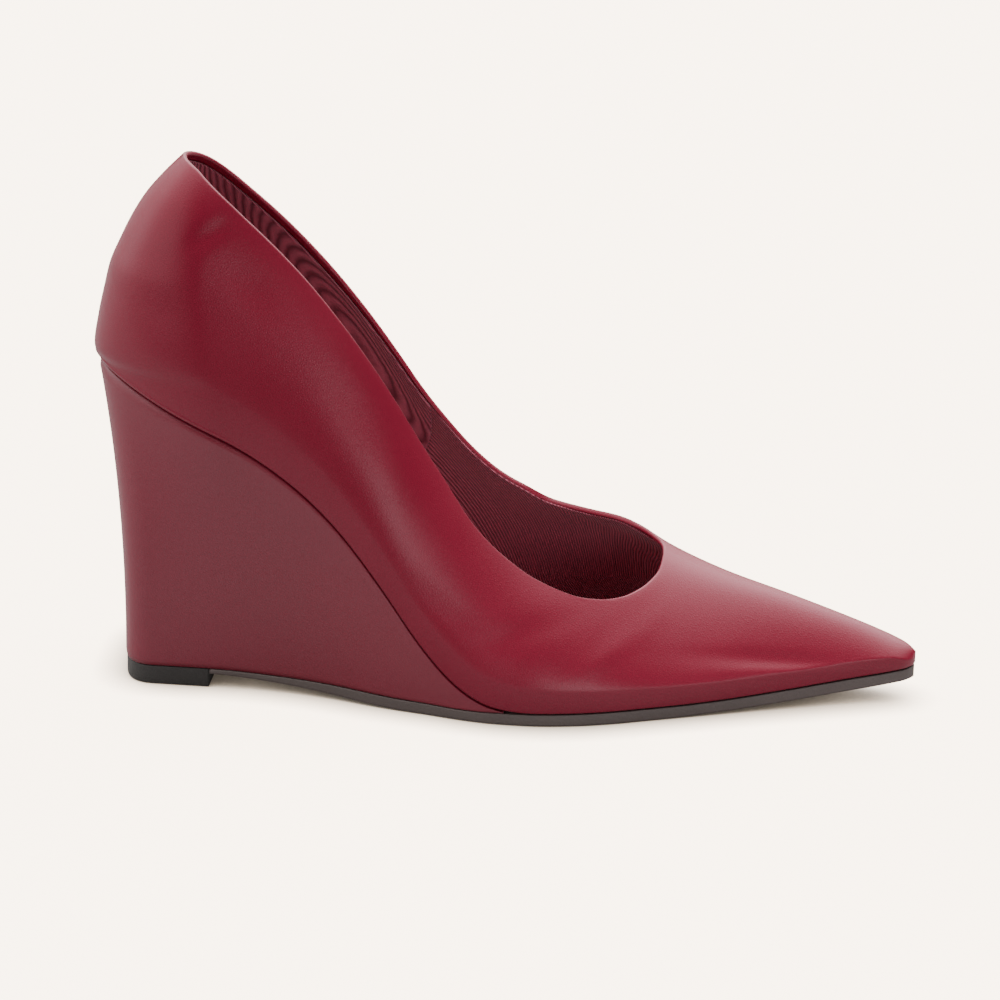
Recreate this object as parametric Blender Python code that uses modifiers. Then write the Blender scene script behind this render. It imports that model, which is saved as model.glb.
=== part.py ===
"""Wedge pump for the right foot: a pointed low-cut upper over a high wedge.

X runs from heel to toe, Y to the inner side of the foot and Z up.  The origin is the centre of the
heel lift's ground face.  Every length is in metres.
"""
import bpy
import numpy as np

# The last.
LENGTH = 0.2439            # back of the heel seat to toe tip, along X
HEEL_HEIGHT = 0.0934       # lower edge of the upper above the ground, at the sides of the heel seat
BALL_WIDTH = 0.073         # across the lower edge of the upper at the ball
INSTEP_HEIGHT = 0.0593     # closed section above the lower edge of the upper, at the instep

# Walls and layers.
WALL = 0.0019              # leather and lining of the upper
GAP = 0.0003               # fit between neighbouring pieces
BULGE = 0.0011             # how far the upper swells out above its lower edge
INSOLE_THICKNESS = 0.0022
INSOLE_CLEARANCE = 0.0003  # more room for the insole where the upper's wall slants
INSOLE_TIP_ROOM = 0.0019   # the same in the toe tip
SOLE_THICKNESS = 0.0035    # outsole at the ball
SOLE_INSET = 0.0002        # outsole edge inside the lower edge of the upper
SOLE_RISE = 0.00416        # ground face of the outsole above the ground, behind the arch
TOE_SPRING = 0.00719       # ground face of the outsole above the ground, at the toe tip

# Heel lift and wedge.
LIFT_LENGTH = 0.0269
LIFT_INSET = 0.0003        # edge of the lift inside the foot of the wedge
SEAT_OVERHANG = 0.00925    # back of the heel seat behind the foot of the wedge
WEDGE_EDGE = 0.0003        # thickness of the wedge where it runs out in front
WEDGE_FLARE = 2.3          # power that hollows the wedge's sides

LIFT_BACK = -0.5 * LIFT_LENGTH
WEDGE_BACK = LIFT_BACK - LIFT_INSET
X_BACK = WEDGE_BACK - SEAT_OVERHANG
X_TOE = X_BACK + LENGTH

# How a plan is rounded off at an end: length of the rounding, and its two powers.
SEAT_LENGTH = 0.040
COLLAR_LENGTH = 0.021
HEEL_POWERS = (1.75, 1.8)
FOOT_LENGTH = 0.011
FOOT_POWERS = (2.6, 3.4)
TIP_LENGTH = 0.0038
TIP_POWERS = (2.0, 2.0)

# The last, a row for each section from heel to toe.
#   along    share of LENGTH
#   heel     lower edge of the upper: share of the way up from the outsole to HEEL_HEIGHT, which the
#            edge passes at the very back
#   outer    half width to the outer side at that edge, share of BALL_WIDTH
#   inner    the same to the inner side
#   crest    height of the closed section above that edge, share of INSTEP_HEIGHT
#   wall     height of the upright side wall, share of BALL_WIDTH
#   lean     sideways shift of the crest to the inner side, share of BALL_WIDTH
#   tilt     slope of the crest, rising to the inner side
#   roof     power of the height above the side wall: 1 leaves a ridge there, more rounds it off
LAST_COLUMNS = ("along", "heel", "outer", "inner", "crest", "wall", "lean", "tilt", "roof")
LAST = (
    (0.00, 1.019, 0.367, 0.353, 1.642, 0.205, 0.000, 0.00, 1.45),
    (0.04, 0.976, 0.367, 0.353, 1.581, 0.205, 0.000, 0.00, 1.45),
    (0.10, 0.906, 0.367, 0.353, 1.493, 0.205, 0.000, 0.00, 1.45),
    (0.18, 0.812, 0.367, 0.353, 1.349, 0.205, 0.000, 0.00, 1.45),
    (0.24, 0.714, 0.378, 0.336, 1.291, 0.195, 0.003, 0.00, 1.45),
    (0.30, 0.578, 0.404, 0.312, 1.244, 0.185, 0.008, 0.01, 1.45),
    (0.36, 0.387, 0.443, 0.299, 1.208, 0.170, 0.015, 0.03, 1.45),
    (0.42, 0.171, 0.482, 0.322, 1.149, 0.155, 0.022, 0.07, 1.45),
    (0.46, 0.071, 0.515, 0.356, 1.074, 0.140, 0.027, 0.11, 1.45),
    (0.50, 0.016, 0.536, 0.401, 0.995, 0.125, 0.030, 0.16, 1.45),
    (0.54, 0.000, 0.538, 0.441, 0.909, 0.115, 0.030, 0.20, 1.45),
    (0.59, 0.000, 0.516, 0.473, 0.818, 0.105, 0.030, 0.23, 1.42),
    (0.64, 0.000, 0.469, 0.468, 0.748, 0.100, 0.020, 0.30, 1.34),
    (0.69, 0.000, 0.402, 0.425, 0.631, 0.095, 0.004, 0.32, 1.22),
    (0.76, 0.000, 0.312, 0.337, 0.520, 0.090, 0.004, 0.27, 1.09),
    (0.83, 0.000, 0.226, 0.244, 0.422, 0.085, 0.006, 0.17, 1.02),
    (0.92, 0.000, 0.127, 0.136, 0.262, 0.080, 0.004, 0.07, 1.00),
    (0.97, 0.000, 0.080, 0.082, 0.158, 0.070, 0.001, 0.02, 1.00),
    (0.99, 0.000, 0.055, 0.055, 0.107, 0.045, 0.000, 0.00, 1.00),
    (1.00, 0.000, 0.042, 0.042, 0.066, 0.030, 0.000, 0.00, 1.00),
)
SIDE_POWER = 1.8           # power of the width above the side wall

# Back seam of the upper, from its lower end: height above HEEL_HEIGHT as a share of INSTEP_HEIGHT,
# then distance in front of the heel seat's back as a share of LENGTH.
BACK_COLUMNS = ("height", "along")
BACK = (
    (0.028, 0.0000),
    (0.071, -0.0045),
    (0.236, 0.0012),
    (0.378, 0.0086),
    (0.504, 0.0160),
    (0.606, 0.0267),
    (0.725, 0.0406),
    (0.851, 0.0590),
    (0.961, 0.0812),
    (1.065, 0.1060),
)

# Top edge of the upper from the back to the throat: share of LENGTH, then how high it runs on the
# outer and on the inner side, as a share of the closed section's height there.
TOPLINE_COLUMNS = ("along", "outer", "inner")
TOPLINE = (
    (0.106, 0.819, 0.819),
    (0.134, 0.842, 0.826),
    (0.156, 0.841, 0.824),
    (0.195, 0.828, 0.816),
    (0.259, 0.806, 0.791),
    (0.318, 0.789, 0.770),
    (0.372, 0.786, 0.764),
    (0.423, 0.788, 0.800),
    (0.466, 0.767, 0.824),
    (0.507, 0.753, 0.828),
    (0.548, 0.734, 0.798),
    (0.589, 0.721, 0.811),
    (0.620, 0.738, 0.827),
    (0.645, 0.780, 0.845),
    (0.665, 0.849, 0.890),
    (0.680, 0.922, 0.943),
    (0.687, 0.965, 0.976),
    (0.690, 1.000, 1.000),
)

# Outsole: its ground face as a share of SOLE_RISE and of TOE_SPRING, its thickness as a share of
# SOLE_THICKNESS, and how far the foot of the wedge narrows from the lower edge of the upper, as a
# share of BALL_WIDTH.
TREAD_COLUMNS = ("along", "arch", "spring", "thick", "taper")
TREAD = (
    (0.00, 1.000, 0.000, 0.440, 0.033),
    (0.15, 0.988, 0.000, 0.440, 0.033),
    (0.22, 0.741, 0.000, 0.560, 0.032),
    (0.30, 0.359, 0.000, 0.820, 0.022),
    (0.35, 0.135, 0.000, 0.950, 0.006),
    (0.40, 0.000, 0.000, 0.970, 0.000),
    (0.46, 0.000, 0.000, 0.880, 0.000),
    (0.54, 0.000, 0.000, 1.000, 0.000),
    (0.70, 0.000, 0.000, 1.030, 0.000),
    (0.76, 0.000, 0.078, 1.000, 0.000),
    (0.83, 0.000, 0.266, 1.014, 0.000),
    (0.92, 0.000, 0.623, 1.041, 0.000),
    (1.00, 0.000, 1.000, 1.014, 0.000),
)

# Stations from back to front, closest at the rounded ends and where the arch bends: share of the
# number of stations, then share of the way.
STATION_COLUMNS = ("count", "way")
STATIONS = (
    (0.00, 0.000),
    (0.05, 0.004),
    (0.12, 0.030),
    (0.22, 0.110),
    (0.35, 0.240),
    (0.60, 0.460),
    (0.75, 0.660),
    (0.88, 0.900),
    (0.95, 0.985),
    (1.00, 1.000),
)
UPPER_STATIONS = 46        # from the back seam to the toe tip, on each side
UPPER_ROWS = 14            # from the lower edge to the top edge
TOE_ROWS = 2               # steps between rows that climb the front of the toe
SOLE_STATIONS = 44
WEDGE_STATIONS = 36
WEDGE_ROWS = 9
LIFT_STATIONS = 18
SEARCH_STEPS = 4000        # places tried for the front edge of the wedge

CREST_POWER = 1.8          # the upper's rows crowd towards the toe tip, where the crest turns down
EDGE_POWER = 3.0           # how quickly the back seam and the crest lose hold of the rows

OUTER = -1.0
INNER = 1.0
SIDE_NAME = {OUTER: "outer", INNER: "inner"}

# Colour and roughness of each piece.
UPPER_LEATHER = ((0.16, 0.012, 0.022), 0.32)
WEDGE_LEATHER = ((0.18, 0.020, 0.030), 0.35)
INSOLE_CLOTH = ((0.10, 0.020, 0.030), 0.80)
SOLE_RUBBER = ((0.045, 0.040, 0.038), 0.60)
LIFT_RUBBER = ((0.050, 0.045, 0.042), 0.55)


def smooth(table, columns, name, at):
    """Read a column of a table at any place with a smooth curve that never overshoots its rows.

    The table's first column holds the places.  Between two rows runs a cubic whose slope at each
    row is the weighted harmonic mean of the slopes before and after it, or level at a peak.
    """
    rows = np.array(table)
    x = rows[:, 0]
    y = rows[:, columns.index(name)]
    step = np.diff(x)
    rise = np.diff(y) / step
    before = rise[:-1]
    after = rise[1:]
    weight_before = 2.0 * step[1:] + step[:-1]
    weight_after = step[1:] + 2.0 * step[:-1]
    with np.errstate(divide="ignore", invalid="ignore"):
        mean = (weight_before + weight_after) / (weight_before / before + weight_after / after)
    slope = np.concatenate((rise[:1], np.where(before * after > 0.0, mean, 0.0), rise[-1:]))
    at = np.clip(np.asarray(at, dtype=float), x[0], x[-1])
    i = np.clip(np.searchsorted(x, at) - 1, 0, len(step) - 1)
    t = (at - x[i]) / step[i]
    start = (1.0 + 2.0 * t) * (1.0 - t) ** 2 * y[i] + t * (1.0 - t) ** 2 * step[i] * slope[i]
    end = t * t * (3.0 - 2.0 * t) * y[i + 1] + t * t * (t - 1.0) * step[i] * slope[i + 1]
    return start + end


def last(name, x):
    """A column of the last at the place x."""
    return smooth(LAST, LAST_COLUMNS, name, (x - X_BACK) / LENGTH)


def tread(name, x):
    """A column of the outsole's table at the place x."""
    return smooth(TREAD, TREAD_COLUMNS, name, (x - X_BACK) / LENGTH)


def sole_under(x):
    """Height of the outsole's ground face."""
    return SOLE_RISE * tread("arch", x) + TOE_SPRING * tread("spring", x)


def sole_top(x):
    """Height of the outsole's upper face."""
    return sole_under(x) + SOLE_THICKNESS * tread("thick", x)


def lower_edge(x):
    """Height of the upper's lower edge: just clear of the outsole, and raised at the heel."""
    seat = sole_top(x) + GAP
    return seat + (HEEL_HEIGHT - seat) * last("heel", x)


def rounding(distance, length, powers):
    """Share of the full width at a distance in from an end that is rounded over a length."""
    left = 1.0 - np.clip(distance / length, 0.0, 1.0)
    return (1.0 - left ** powers[0]) ** (1.0 / powers[1])


def plan_width(x, side, inset, back, back_length, back_powers, tip):
    """Half width of the lower edge's outline, drawn in by an inset and rounded off at its ends."""
    width = BALL_WIDTH * last(SIDE_NAME[side], x) - inset
    width = width * rounding(x - back, back_length, back_powers)
    return width * rounding(tip - x, TIP_LENGTH, TIP_POWERS)


def stations(count):
    """Places from 0 to 1 along a side, from back to front."""
    return smooth(STATIONS, STATION_COLUMNS, "way", np.linspace(0.0, 1.0, count))


def crowded_at_start(count):
    """Places from 0 to 1, closest to each other near 0."""
    return 1.0 - np.cos(0.5 * np.pi * np.linspace(0.0, 1.0, count))


def crowded_at_end(count):
    """Places from 0 to 1, closest to each other near 1."""
    return np.sin(0.5 * np.pi * np.linspace(0.0, 1.0, count))


def upper_face(x, rise, side):
    """Points of the upper's outer face, at places along the shoe and shares of a section's height."""
    foot = lower_edge(x)
    crest = foot + INSTEP_HEIGHT * last("crest", x)
    shoulder = foot + BALL_WIDTH * last("wall", x)
    z = foot + (crest - foot) * rise
    low = np.clip((z - foot) / (shoulder - foot), 0.0, 1.0)
    high = np.clip((z - shoulder) / (crest - shoulder), 0.0, 1.0)
    width = BALL_WIDTH * last(SIDE_NAME[side], x) + BULGE * low * (2.0 - low)
    width = width * (1.0 - high ** last("roof", x)) ** (1.0 / SIDE_POWER)
    height = (z - HEEL_HEIGHT) / INSTEP_HEIGHT
    back = X_BACK + LENGTH * smooth(BACK, BACK_COLUMNS, "along", height)
    climb = np.clip(height / BACK[-1][0], 0.0, 1.0)
    length = SEAT_LENGTH + (COLLAR_LENGTH - SEAT_LENGTH) * climb
    width = width * rounding(x - back, length, HEEL_POWERS)
    width = width * rounding(X_TOE - x, TIP_LENGTH, TIP_POWERS)
    y = side * width + BALL_WIDTH * last("lean", x) * high
    return np.stack((x, y, z + last("tilt", x) * y * high), axis=-1)


def upper_side(side):
    """One side of the upper as rows of points, lower edge first, each from back seam to toe.

    In side view the face has four edges: the back seam, the top edge, the crest of the vamp with
    the front of the toe, and the lower edge.  A place inside is blended from all four, both its
    distance along the shoe and its share of the section's height.
    """
    along = stations(UPPER_STATIONS)[None, :]
    up = np.linspace(0.0, 1.0, UPPER_ROWS)[:, None]

    foot_x = X_BACK + LENGTH * along
    top_share = TOPLINE[0][0] + (TOPLINE[-1][0] - TOPLINE[0][0]) * along
    top_x = X_BACK + LENGTH * top_share
    top_rise = smooth(TOPLINE, TOPLINE_COLUMNS, SIDE_NAME[side], top_share)
    back_height = BACK[0][0] + (BACK[-1][0] - BACK[0][0]) * up
    back_x = X_BACK + LENGTH * smooth(BACK, BACK_COLUMNS, "along", back_height)
    back_z = HEEL_HEIGHT + INSTEP_HEIGHT * back_height
    back_rise = (back_z - lower_edge(back_x)) / (INSTEP_HEIGHT * last("crest", back_x))
    toe_share = TOE_ROWS / (UPPER_ROWS - 1)
    climb = np.clip((up - toe_share) / (1.0 - toe_share), 0.0, 1.0) ** CREST_POWER
    crest_x = X_TOE + (top_x[0, -1] - X_TOE) * climb
    crest_rise = np.clip(up / toe_share, 0.0, 1.0)

    def blend(foot, top, back, crest):
        between = (1.0 - up) * foot + up * top
        near_back = (1.0 - along) ** EDGE_POWER * (back - between[:, :1])
        near_crest = along ** EDGE_POWER * (crest - between[:, -1:])
        return between + near_back + near_crest

    x = blend(foot_x, top_x, back_x, crest_x)
    rise = np.clip(blend(0.0 * foot_x, top_rise, back_rise, crest_rise), 0.0, 1.0)
    return upper_face(x, rise, side)


def outline(x, side, width, z):
    """Points of one side of an outline."""
    return np.stack((x, side * width, z), axis=-1)


def band_faces(rows, around):
    """Quads between closed loops that follow each other."""
    here = np.arange(around)
    after = (here + 1) % around
    faces = []
    for row in range(rows - 1):
        low = row * around
        high = low + around
        faces += np.stack((low + here, low + after, high + after, high + here), axis=1).tolist()
    return faces


def make_material(name, finish):
    """A plain Principled material from a colour and a roughness."""
    colour, roughness = finish
    material = bpy.data.materials.new(name)
    material.use_nodes = True
    shader = material.node_tree.nodes["Principled BSDF"]
    shader.inputs["Base Color"].default_value = (*colour, 1.0)
    shader.inputs["Roughness"].default_value = roughness
    return material


def make_object(name, points, faces, material):
    """An object of the shoe from points and faces, with one material and smooth shading."""
    mesh = bpy.data.meshes.new(name)
    mesh.from_pydata(points.reshape(-1, 3).tolist(), [], faces)
    mesh.update()
    mesh.materials.append(material)
    mesh.shade_smooth()
    item = bpy.data.objects.new(name, mesh)
    bpy.data.collections["wedge_pump"].objects.link(item)
    return item


def make_slab(name, sides, back_closed, tip_closed, material):
    """A solid between outline loops, from the lowest to the highest.

    Both sides of each loop share their places along X, so the lowest and highest faces are strips
    straight across.  A closed end is a single point, any other end is a flat face across.
    """
    outer, inner = sides
    first = 1 if back_closed else 0
    end = -1 if tip_closed else None
    loops = np.concatenate((outer, inner[:, first:end][:, ::-1]), axis=1)
    rows, around = loops.shape[:2]
    count = outer.shape[1]
    faces = band_faces(rows, around)
    outer_index = list(range(count))
    inner_index = list(range(count, around))[::-1]
    if back_closed:
        inner_index = outer_index[:1] + inner_index
    if tip_closed:
        inner_index = inner_index + outer_index[-1:]
    top = (rows - 1) * around
    for i in range(count - 1):
        strip = [outer_index[i], inner_index[i], inner_index[i + 1], outer_index[i + 1]]
        strip = list(dict.fromkeys(strip))
        faces.append(strip)
        faces.append([top + index for index in reversed(strip)])
    return make_object(name, loops, faces, material)


def make_upper():
    """Upper: the last's surface from lower edge to top edge, given its wall inwards."""
    outer = upper_side(OUTER)
    inner = upper_side(INNER)
    loops = np.concatenate((outer, inner[:, -2:0:-1]), axis=1)
    faces = band_faces(*loops.shape[:2])
    upper = make_object("upper", loops, faces, make_material("upper_leather", UPPER_LEATHER))
    wall = upper.modifiers.new("wall", "SOLIDIFY")
    wall.thickness = WALL
    wall.offset = -1.0


def make_insole():
    """Insole: a board that lies inside the upper, level with its lower edge."""
    inset = WALL + GAP + INSOLE_CLEARANCE
    back = X_BACK + inset
    tip = X_TOE - WALL - INSOLE_TIP_ROOM
    x = back + (tip - back) * stations(SOLE_STATIONS)
    under = lower_edge(x)
    board = []
    for side in (OUTER, INNER):
        width = plan_width(x, side, inset, back, SEAT_LENGTH - inset, HEEL_POWERS, tip)
        low = outline(x, side, width, under)
        high = outline(x, side, width, under + INSOLE_THICKNESS)
        board.append(np.stack((low, high)))
    make_slab("insole", board, True, True, make_material("insole_cloth", INSOLE_CLOTH))


def make_wedge():
    """Wedge: from the outsole and the lift up to the lower edge of the upper, its sides hollowed.

    It runs out in front where the room between the two is no thicker than its front edge.
    """
    place = np.linspace(X_BACK, X_TOE, SEARCH_STEPS)
    room = lower_edge(place) - sole_top(place) - 2.0 * GAP
    front = place[room > WEDGE_EDGE].max()
    along = crowded_at_start(WEDGE_STATIONS)
    climb = np.linspace(0.0, 1.0, WEDGE_ROWS)[:, None]
    spread = climb ** WEDGE_FLARE
    foot_x = WEDGE_BACK + (front - WEDGE_BACK) * along
    seat_x = X_BACK + (front - X_BACK) * along
    foot_z = sole_top(foot_x) + GAP
    seat_z = lower_edge(seat_x) - GAP
    narrowing = BALL_WIDTH * tread("taper", foot_x) + SOLE_INSET
    block = []
    for side in (OUTER, INNER):
        foot_width = plan_width(foot_x, side, narrowing, WEDGE_BACK, FOOT_LENGTH, FOOT_POWERS, X_TOE)
        seat_width = plan_width(seat_x, side, 0.0, X_BACK, SEAT_LENGTH, HEEL_POWERS, X_TOE)
        x = foot_x + (seat_x - foot_x) * spread
        width = foot_width + (seat_width - foot_width) * spread
        block.append(outline(x, side, width, foot_z + (seat_z - foot_z) * climb))
    make_slab("wedge", block, True, False, make_material("wedge_leather", WEDGE_LEATHER))


def make_outsole():
    """Outsole: a sheet from the heel lift to the toe tip."""
    back = -LIFT_BACK + GAP
    tip = X_TOE - SOLE_INSET
    x = back + (tip - back) * crowded_at_end(SOLE_STATIONS)
    narrowing = BALL_WIDTH * tread("taper", x) + SOLE_INSET
    sheet = []
    for side in (OUTER, INNER):
        width = plan_width(x, side, narrowing, X_BACK, FOOT_LENGTH, FOOT_POWERS, tip)
        low = outline(x, side, width, sole_under(x))
        high = outline(x, side, width, sole_top(x))
        sheet.append(np.stack((low, high)))
    make_slab("outsole", sheet, False, True, make_material("outsole_rubber", SOLE_RUBBER))


def make_heel_lift():
    """Heel lift: the block on the ground that carries the back of the wedge."""
    x = LIFT_BACK + LIFT_LENGTH * crowded_at_start(LIFT_STATIONS)
    inset = BALL_WIDTH * tread("taper", x) + SOLE_INSET + LIFT_INSET
    block = []
    for side in (OUTER, INNER):
        width = plan_width(x, side, inset, LIFT_BACK, FOOT_LENGTH, FOOT_POWERS, X_TOE)
        low = outline(x, side, width, 0.0 * x)
        high = outline(x, side, width, sole_top(x))
        block.append(np.stack((low, high)))
    make_slab("heel_lift", block, True, False, make_material("lift_rubber", LIFT_RUBBER))


# Start from an empty scene.
for old in list(bpy.data.objects):
    bpy.data.objects.remove(old, do_unlink=True)
bpy.context.scene.collection.children.link(bpy.data.collections.new("wedge_pump"))

make_upper()
make_insole()
make_wedge()
make_outsole()
make_heel_lift()
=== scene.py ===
"""Wedge pump: leather, linings, insole sock, wedge cover, outsole and heel lift.

X runs from heel to toe, Y to the inner side of the foot and Z up.  Every length is in metres, and
the origin is the centre of the heel lift's ground face.
"""

import bmesh
import bpy
import numpy as np
from mathutils import Matrix, Vector


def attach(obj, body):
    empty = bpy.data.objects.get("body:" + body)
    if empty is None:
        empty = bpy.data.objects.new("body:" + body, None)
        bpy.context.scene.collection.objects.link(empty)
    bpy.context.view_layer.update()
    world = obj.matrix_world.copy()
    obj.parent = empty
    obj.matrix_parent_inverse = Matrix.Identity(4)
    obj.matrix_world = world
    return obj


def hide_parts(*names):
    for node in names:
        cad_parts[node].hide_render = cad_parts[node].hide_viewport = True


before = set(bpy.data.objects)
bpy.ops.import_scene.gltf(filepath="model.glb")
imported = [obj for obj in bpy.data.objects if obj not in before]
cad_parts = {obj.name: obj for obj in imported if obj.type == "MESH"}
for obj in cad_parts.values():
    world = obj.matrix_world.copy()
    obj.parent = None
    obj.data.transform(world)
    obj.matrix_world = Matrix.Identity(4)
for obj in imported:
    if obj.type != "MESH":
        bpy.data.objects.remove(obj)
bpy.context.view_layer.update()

# Upper.  One skin of smooth burgundy calf, pulled over a pointed last and closed by a seam down the
# back.  Its top edge is folded in over the lining, and its lower edge is rolled in above the wedge.
LENGTH = 0.2439
HEEL_HEIGHT = 0.0934
BALL_WIDTH = 0.073
INSTEP_HEIGHT = 0.0593
GAP = 0.0003
BULGE = 0.0011
X_BACK = -0.0230
X_TOE = X_BACK + LENGTH
SOLE_THICKNESS = 0.0035
SOLE_RISE = 0.00416
TOE_SPRING = 0.00719

SEAT_LENGTH = 0.040
COLLAR_LENGTH = 0.021
HEEL_POWERS = (1.75, 1.8)
TIP_LENGTH = 0.0038
TIP_POWERS = (2.0, 2.0)
SIDE_POWER = 1.8
CREST_POWER = 1.8
EDGE_POWER = 3.0
TOE_SHARE = 2.0 / 13.0
FAIRING = 0.022

LAST_COLUMNS = ("along", "heel", "outer", "inner", "crest", "wall", "lean", "tilt", "roof")
LAST = (
    (0.00, 1.019, 0.367, 0.353, 1.642, 0.205, 0.000, 0.00, 1.45),
    (0.04, 0.976, 0.367, 0.353, 1.581, 0.205, 0.000, 0.00, 1.45),
    (0.10, 0.906, 0.367, 0.353, 1.493, 0.205, 0.000, 0.00, 1.45),
    (0.18, 0.812, 0.367, 0.353, 1.349, 0.205, 0.000, 0.00, 1.45),
    (0.24, 0.714, 0.378, 0.336, 1.291, 0.195, 0.003, 0.00, 1.45),
    (0.30, 0.578, 0.404, 0.312, 1.244, 0.185, 0.008, 0.01, 1.45),
    (0.36, 0.387, 0.443, 0.299, 1.208, 0.170, 0.015, 0.03, 1.45),
    (0.42, 0.171, 0.482, 0.322, 1.149, 0.155, 0.022, 0.07, 1.45),
    (0.46, 0.071, 0.515, 0.356, 1.074, 0.140, 0.027, 0.11, 1.45),
    (0.50, 0.016, 0.536, 0.401, 0.995, 0.125, 0.030, 0.16, 1.45),
    (0.54, 0.000, 0.538, 0.441, 0.909, 0.115, 0.030, 0.20, 1.45),
    (0.59, 0.000, 0.516, 0.473, 0.818, 0.105, 0.030, 0.23, 1.42),
    (0.64, 0.000, 0.469, 0.468, 0.748, 0.100, 0.020, 0.30, 1.34),
    (0.69, 0.000, 0.402, 0.425, 0.631, 0.095, 0.004, 0.32, 1.22),
    (0.76, 0.000, 0.312, 0.337, 0.520, 0.090, 0.004, 0.27, 1.09),
    (0.83, 0.000, 0.226, 0.244, 0.422, 0.085, 0.006, 0.17, 1.02),
    (0.92, 0.000, 0.127, 0.136, 0.262, 0.080, 0.004, 0.07, 1.00),
    (0.97, 0.000, 0.080, 0.082, 0.158, 0.070, 0.001, 0.02, 1.00),
    (0.99, 0.000, 0.055, 0.055, 0.107, 0.045, 0.000, 0.00, 1.00),
    (1.00, 0.000, 0.042, 0.042, 0.066, 0.030, 0.000, 0.00, 1.00),
)
BACK_COLUMNS = ("height", "along")
BACK = (
    (0.028, 0.0000),
    (0.071, -0.0045),
    (0.236, 0.0012),
    (0.378, 0.0086),
    (0.504, 0.0160),
    (0.606, 0.0267),
    (0.725, 0.0406),
    (0.851, 0.0590),
    (0.961, 0.0812),
    (1.065, 0.1060),
)
TOPLINE_COLUMNS = ("along", "outer", "inner")
TOPLINE = (
    (0.106, 0.819, 0.819),
    (0.134, 0.842, 0.826),
    (0.156, 0.841, 0.824),
    (0.195, 0.828, 0.816),
    (0.259, 0.806, 0.791),
    (0.318, 0.789, 0.770),
    (0.372, 0.786, 0.764),
    (0.423, 0.788, 0.800),
    (0.466, 0.767, 0.824),
    (0.507, 0.753, 0.828),
    (0.548, 0.734, 0.798),
    (0.589, 0.721, 0.811),
    (0.620, 0.738, 0.827),
    (0.645, 0.780, 0.845),
    (0.665, 0.849, 0.890),
    (0.680, 0.922, 0.943),
    (0.687, 0.965, 0.976),
    (0.690, 1.000, 1.000),
)
TREAD_COLUMNS = ("along", "arch", "spring", "thick", "taper")
TREAD = (
    (0.00, 1.000, 0.000, 0.440, 0.033),
    (0.15, 0.988, 0.000, 0.440, 0.033),
    (0.22, 0.741, 0.000, 0.560, 0.032),
    (0.30, 0.359, 0.000, 0.820, 0.022),
    (0.35, 0.135, 0.000, 0.950, 0.006),
    (0.40, 0.000, 0.000, 0.970, 0.000),
    (0.46, 0.000, 0.000, 0.880, 0.000),
    (0.54, 0.000, 0.000, 1.000, 0.000),
    (0.70, 0.000, 0.000, 1.030, 0.000),
    (0.76, 0.000, 0.078, 1.000, 0.000),
    (0.83, 0.000, 0.266, 1.014, 0.000),
    (0.92, 0.000, 0.623, 1.041, 0.000),
    (1.00, 0.000, 1.000, 1.014, 0.000),
)
STATION_COLUMNS = ("count", "way")
STATIONS = (
    (0.00, 0.000),
    (0.05, 0.004),
    (0.12, 0.030),
    (0.22, 0.110),
    (0.35, 0.240),
    (0.60, 0.460),
    (0.75, 0.660),
    (0.88, 0.900),
    (0.95, 0.985),
    (1.00, 1.000),
)


def read_curve(table, columns, name, at):
    """A column of a table at any place: cubic pieces whose slope at a row is the weighted harmonic
    mean of the slopes before and after it, or level at a peak."""
    rows = np.array(table)
    x = rows[:, 0]
    y = rows[:, columns.index(name)]
    step = np.diff(x)
    rise = np.diff(y) / step
    before = rise[:-1]
    after = rise[1:]
    weight_before = 2.0 * step[1:] + step[:-1]
    weight_after = step[1:] + 2.0 * step[:-1]
    with np.errstate(divide="ignore", invalid="ignore"):
        mean = (weight_before + weight_after) / (weight_before / before + weight_after / after)
    slope = np.concatenate((rise[:1], np.where(before * after > 0.0, mean, 0.0), rise[-1:]))
    at = np.clip(np.asarray(at, dtype=float), x[0], x[-1])
    i = np.clip(np.searchsorted(x, at) - 1, 0, len(step) - 1)
    t = (at - x[i]) / step[i]
    start = (1.0 + 2.0 * t) * (1.0 - t) ** 2 * y[i] + t * (1.0 - t) ** 2 * step[i] * slope[i]
    end = t * t * (3.0 - 2.0 * t) * y[i + 1] + t * t * (t - 1.0) * step[i] * slope[i + 1]
    return start + end


def faired(table, columns, name, share):
    """The same curve smoothed: the 1-4-6-4-1 mean of five places within FAIRING, closer at ends."""
    reach = np.clip(0.5 * np.minimum(share, 1.0 - share), 0.0, FAIRING)
    total = 0.0
    for step, weight in ((-1.0, 1.0), (-0.5, 4.0), (0.0, 6.0), (0.5, 4.0), (1.0, 1.0)):
        total = total + weight / 16.0 * read_curve(table, columns, name, share + step * reach)
    return total


def last(name, x):
    """A column of the last at the place x."""
    return faired(LAST, LAST_COLUMNS, name, (x - X_BACK) / LENGTH)


def tread(name, x):
    """A column of the outsole's table at the place x."""
    return faired(TREAD, TREAD_COLUMNS, name, (x - X_BACK) / LENGTH)


def sole_under(x):
    """Height of the outsole's ground face: rise of the arch plus spring of the toe."""
    return SOLE_RISE * tread("arch", x) + TOE_SPRING * tread("spring", x)


def sole_top(x):
    """Height of the outsole's upper face: its ground face plus its thickness."""
    return sole_under(x) + SOLE_THICKNESS * tread("thick", x)


def lower_edge(x):
    """Height of the upper's lower edge: seat + (heel height - seat) * share."""
    seat = sole_top(x) + GAP
    return seat + (HEEL_HEIGHT - seat) * last("heel", x)


def rounding(distance, length, powers):
    """Share of the full width at a distance from an end: (1 - (1 - d / length)^p)^(1 / q)."""
    left = 1.0 - np.clip(distance / length, 0.0, 1.0)
    return (1.0 - left ** powers[0]) ** (1.0 / powers[1])


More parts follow.
